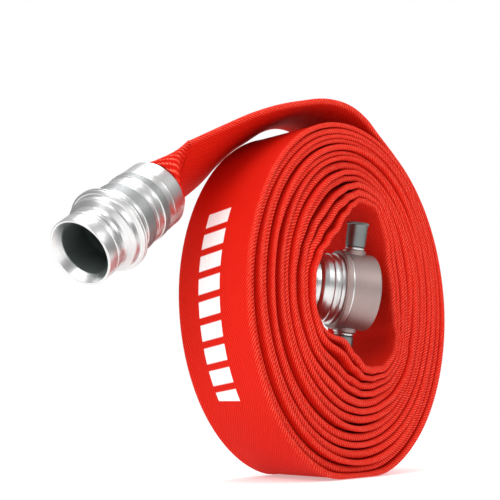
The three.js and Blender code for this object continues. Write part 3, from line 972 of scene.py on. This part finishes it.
# %% [markdown]
# ## The male coupling
# One turned body: a nose with a wide chamfer, a waist, and a flange that the other half's lugs lock behind.
# Behind it a ferrule crimps the hose on the tailpiece. Two of its bands are knurled for grip.


# %% Male body, tailpiece and ferrule
KNURL_BANDS = ((-72.4, -59.4), (-97.4, -88.6))
KNURL_TEETH = 110
KNURL_DEPTH = 0.9
KNURL_GIRTH = 230  # round the band, in millimetres, so the diamonds are as long as they are wide
KNURL_FADE = 0.5
KNURL_INSIDE = 35.5  # nothing within this radius is knurled


def knurled(angle, r, z):
    """A diamond knurl on the ferrule's two bands."""
    for first, last in KNURL_BANDS:
        if first < z < last and r >= KNURL_INSIDE:
            around, lead = angle * KNURL_TEETH / math.tau, z * KNURL_TEETH / KNURL_GIRTH
            one, two = abs((around + lead) % 1 - 0.5), abs((around - lead) % 1 - 0.5)
            fade = min(1.0, (z - first) / KNURL_FADE, (last - z) / KNURL_FADE)
            return KNURL_DEPTH * (one + two - 0.5) * fade
    return 0.0


def band(r, start, end, step=0.8):
    """Points along a straight band, close enough together to take a knurl."""
    count = round(abs(end - start) / step)
    return [(r, start + (end - start) * k / count) for k in range(count + 1)]


MALE = male_frame()
male_body = spun("male_body", [
    (31.1, 0), (32.9, 0), (33.4, -0.6), (33.4, -12.4), (32.8, -12.8), (32.8, -13.8), (33.3, -14.2),
    (33.3, -18.5), (32, -20), (31.2, -22.5), (31.4, -26), (32.8, -29), (35.6, -31.4), (37.6, -33.2),
    (38.4, -35), (38.6, -40.6), (39.2, -41.2), (40.6, -41.6), (41.4, -42.4), (42.5, -43.3), (42.5, -44.9),
    (41.7, -45.3), (41.7, -46), (42.5, -46.4), (42.5, -48), (41, -49.5), (36.6, -50), (36, -51),
    (36, -56), (30.8, -56), (30.8, -42), (26.5, -42), (26.5, -9.2), (26.9, -8.4),
], MALE, POLISHED, segments=160, radius=0.3)


BARB_PITCH = 12.0


def barbed(front, back, first_barb):
    """A tailpiece's profile between two places along the axis."""
    count = round((first_barb - back) / BARB_PITCH)
    barbs = []
    for i in range(count):
        z = first_barb - i * (first_barb - back - 2) / count
        barbs += [(30.5, z), (29.6, z - 0.6)]
    return [(27.5, front), (30.5, front)] + barbs + [(29.5, back), (27.5, back)]


male_tail = spun("male_tail", barbed(-42.3, -113, -60), MALE, POLISHED)
male_ferrule = spun("male_ferrule", [
    (33.5, -56.3), (36, -56.3), (36, -58.4), (36.7, -59), *band(36.7, -59.4, -72.4), (36, -73), (35.8, -74),
    (35.8, -77.6), (36.1, -78), (36.1, -82), (35.8, -82.4), (35.8, -87.6), (36.7, -88.2),
    *band(36.7, -88.6, -97.4), (36, -98), (36, -106), (36.2, -106.4), (36.2, -108), (36, -108.4), (36, -124),
    (35.4, -125), (33.5, -125),
], MALE, POLISHED, segments=360, radius=0.3, relief=knurled)


def paint(piece, place, material, inside):
    """Gives the faces whose middle lies inside(radius, z) another material."""
    piece.data.materials.append(material)
    to_local = place.inverted()
    for face in piece.data.polygons:
        middle = to_local @ face.center / MM
        if inside(math.hypot(middle.x, middle.y), middle.z):
            face.material_index = len(piece.data.materials) - 1


paint(male_ferrule, MALE, KNURLED, lambda r, z: r > 36.2 and any(a < z < b for a, b in KNURL_BANDS))
# the inner bores take the darker finish: painted shade inside the bore
paint(male_body, MALE, BORED_AND_SHADED, lambda r, z: r < 26.8 and z < -8.6)
paint(male_tail, MALE, BORED_AND_SHADED, lambda r, z: r < 28)

# %% [markdown]
# ## The female coupling
# A bead-blasted casting with a socket for the nose, a thin bright ring machined on its back, and a ridged
# polished tail. Two lugs spring in behind the flange of the male half. Each is pulled out by its knob.


# %% Female body, tail, ferrule and seal
FEMALE = female_frame()
female_body = spun("female_body", [
    (42.8, 30.8), (43.6, 34), (44.2, 34), (45, 33), (45, 1.4), (44.6, 0.6), (44.6, -0.6), (46.5, -1),
    (46.5, -7), (45.6, -8), (45.6, -8.9), (42, -8.9), (42, -13), (39.9, -13.6), (39.5, -15.4), (39.5, -16.4),
    (40.9, -17), (40.9, -21), (39.5, -21.6), (39.5, -23.5), (39.5, -28), (38.5, -33), (36.4, -36),
    (30.8, -36), (30.8, -29.5), (36.8, -29.5), (36.8, -24), (34.2, -24), (34.2, -4), (42.8, -4),
], FEMALE, CAST_WITH_RED_REFLECTION, segments=144, radius=0.3)


BORED_SHARP = math.radians(30)


def bore_lug_holes(body):
    """Cuts the two lug holes through the casting and joins the bosses to it."""
    for side in (1, -1):
        place = lug_frame(side)
        boss = [(0, 42.9), (13.4, 42.9), (13.4, 47.8), (12.2, 49), (0, 49)]
        nose_hole = [(0, 34), (6.6, 34), (6.6, 44), (0, 44)]
        chamber = [(0, 43.5), (8.5, 43.5), (8.5, 54), (0, 54)]
        for profile, segments, radius, operation in (
            (boss, 64, 0.35, "UNION"), (nose_hole, 48, 0, "DIFFERENCE"), (chamber, 48, 0, "DIFFERENCE"),
        ):
            tool = spun("tool", profile, place, CAST_WITH_RED_REFLECTION, segments, radius)
            cut = body.modifiers.new("cut", "BOOLEAN")
            cut.operation = operation
            cut.solver = "EXACT"
            cut.object = tool
            shape = bpy.data.meshes.new_from_object(body.evaluated_get(bpy.context.evaluated_depsgraph_get()))
            body.modifiers.clear()
            body.data = shape
            bpy.data.objects.remove(tool)
    finish_surface(body.data, BORED_SHARP)


bore_lug_holes(female_body)
paint(female_body, FEMALE, POLISHED, lambda r, z: -1.6 < z < 0.9 and r > 44)
paint(female_body, FEMALE, POLISHED, lambda r, z: -35.9 < z < -9.2 and r > 36)
female_tail = spun("female_tail", barbed(-29.8, -54, -38), FEMALE, POLISHED)
female_ferrule = spun("female_ferrule", [
    (33.5, -36.3), (36, -36.3), (36, -41), (37, -42), (37, -47), (36, -48), (36, -52.6), (36.6, -54),
    (34.6, -54), (33.5, -52),
], FEMALE, POLISHED, segments=144)
female_seal = spun("female_seal", [
    (28.5, -29.2), (36.5, -29.2), (36.5, -24.3), (33, -24.3), (31, -26), (28.5, -25),
], FEMALE, RUBBER, segments=96, radius=0.5)


# %% The lugs, their springs and knobs
RIM_TEETH = 36


def rim_teeth(angle, r, z):
    return 0.35 * math.cos(angle * RIM_TEETH) * (1 if r > 12.3 and 79 < z < 81.4 else 0)


# Along the plunger and across the coil, in millimetres.
SPRING_LOW, SPRING_HIGH = 47.4, 57.6
SPRING_R, SPRING_WIRE_R = 6.0, 0.6
SPRING_TURNS, SPRING_STEPS = 5, 28


def spring_stations():
    width, thick, opened = SPRING_WIRE_R * MM / (HOSE_WIDTH / 2), SPRING_WIRE_R * MM / HOSE_WALL, 1.0
    stations = []
    for i in range(SPRING_TURNS * SPRING_STEPS + 1):
        share = i / (SPRING_TURNS * SPRING_STEPS)
        angle = math.tau * SPRING_TURNS * share
        outwards = Vector((math.cos(angle), math.sin(angle), 0))
        rise = Vector((0, 0, SPRING_LOW + (SPRING_HIGH - SPRING_LOW) * share))
        at = (outwards * SPRING_R + rise) * MM
        stations.append(Station(at, outwards, Vector((0, 0, 1)), width, thick, 0.2 * MM, opened))
    return measured(stations)


LUG_SIDES = {1: 1, 2: -1}  # the upper lug and the lower one
PIN_ALONG = 71 * MM


def lug(number):
    place = lug_frame(LUG_SIDES[number])
    plunger = spun(f"plunger_{number}", [
        (0, 36.5), (3.6, 36.5), (5.2, 37.4), (6.3, 39.5), (6.3, 43.8), (8.2, 43.8), (8.2, 46.5), (3.5, 46.5),
        (3.5, 77), (0, 77),
    ], place, STEEL, 56)
    spring = swept_piece(f"spring_{number}", spring_stations(), STEEL)
    spring.data.transform(place)
    bush = spun(f"bush_{number}", [
        (8.5, 49.3), (11.4, 49.3), (11.4, 51.7), (10, 52.5), (10, 61), (3.8, 61), (3.8, 58.5), (8.5, 58.5),
    ], place, POLISHED, 72)
    knob = spun(f"knob_{number}", [
        (10.5, 53), (11.3, 53), (11.7, 53.8), (12, 66), (12.2, 78.5), (12.7, 79),
        *band(12.7, 79.2, 81.2, 0.7), (11.8, 82), (9.4, 82), (8.9, 81.3), (0, 81.3),
        (0, 77.3), (3.8, 77.3), (3.8, 63), (10.5, 63),
    ], place, KNOB, 216, relief=rim_teeth)
    crosswise = Matrix.Translation((0, 0, PIN_ALONG)) @ Matrix.Rotation(math.pi / 2, 4, "X")
    pin = spun(f"pin_{number}", [
        (0, -11.6), (1.2, -11.6), (1.5, -11.2), (1.5, 11.2), (1.2, 11.6), (0, 11.6),
    ], place @ crosswise, STEEL, 24)
    return plunger, spring, bush, knob, pin


lugs = {number: lug(number) for number in LUG_SIDES}
print("lug pieces", sum(len(parts) for parts in lugs.values()))

# %% [markdown]
# ## Riding and replacing
# Each piece names the body it moves with and the node of the imported model that it stands for. The free
# stretch of hose and the two springs are left where they stand, with no body.

# %% Bodies, nodes and finishes
bpy.data.objects.remove(SECTION)
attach(hose_wound, "roll")
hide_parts("hose_roll", "hose_female_end")
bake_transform(hose_free)
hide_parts("hose_free_run", "hose_male_end")
for piece, node, slot, body in (
    (male_body, "male_coupling_body", "polished_aluminium", "free_end"),
    (male_tail, "male_tailpiece", "polished_aluminium", "free_end"),
    (male_ferrule, "male_ferrule", "polished_aluminium", "free_end"),
    (female_body, "female_coupling_body", "cast_aluminium", "roll"),
    (female_tail, "female_tailpiece", "polished_aluminium", "roll"),
    (female_ferrule, "female_ferrule", "polished_aluminium", "roll"),
    (female_seal, "female_seal", "seal_rubber", "roll"),
):
    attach(piece, body)
    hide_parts(node)
for number, parts in lugs.items():
    words = ("plunger", "spring", "bush", "knob", "pin")
    slots = ("steel", "steel", "polished_aluminium", "knob_grey", "steel")
    for piece, word, slot in zip(parts, words, slots):
        if word == "spring":
            place = lug_frame(LUG_SIDES[number])
            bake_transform(piece)
        else:
            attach(piece, "roll" if word == "bush" else f"lug_{number}")
        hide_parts(f"lug_{word}_{number}")
round(free_all[-1].travel - free_all[0].travel, 3)
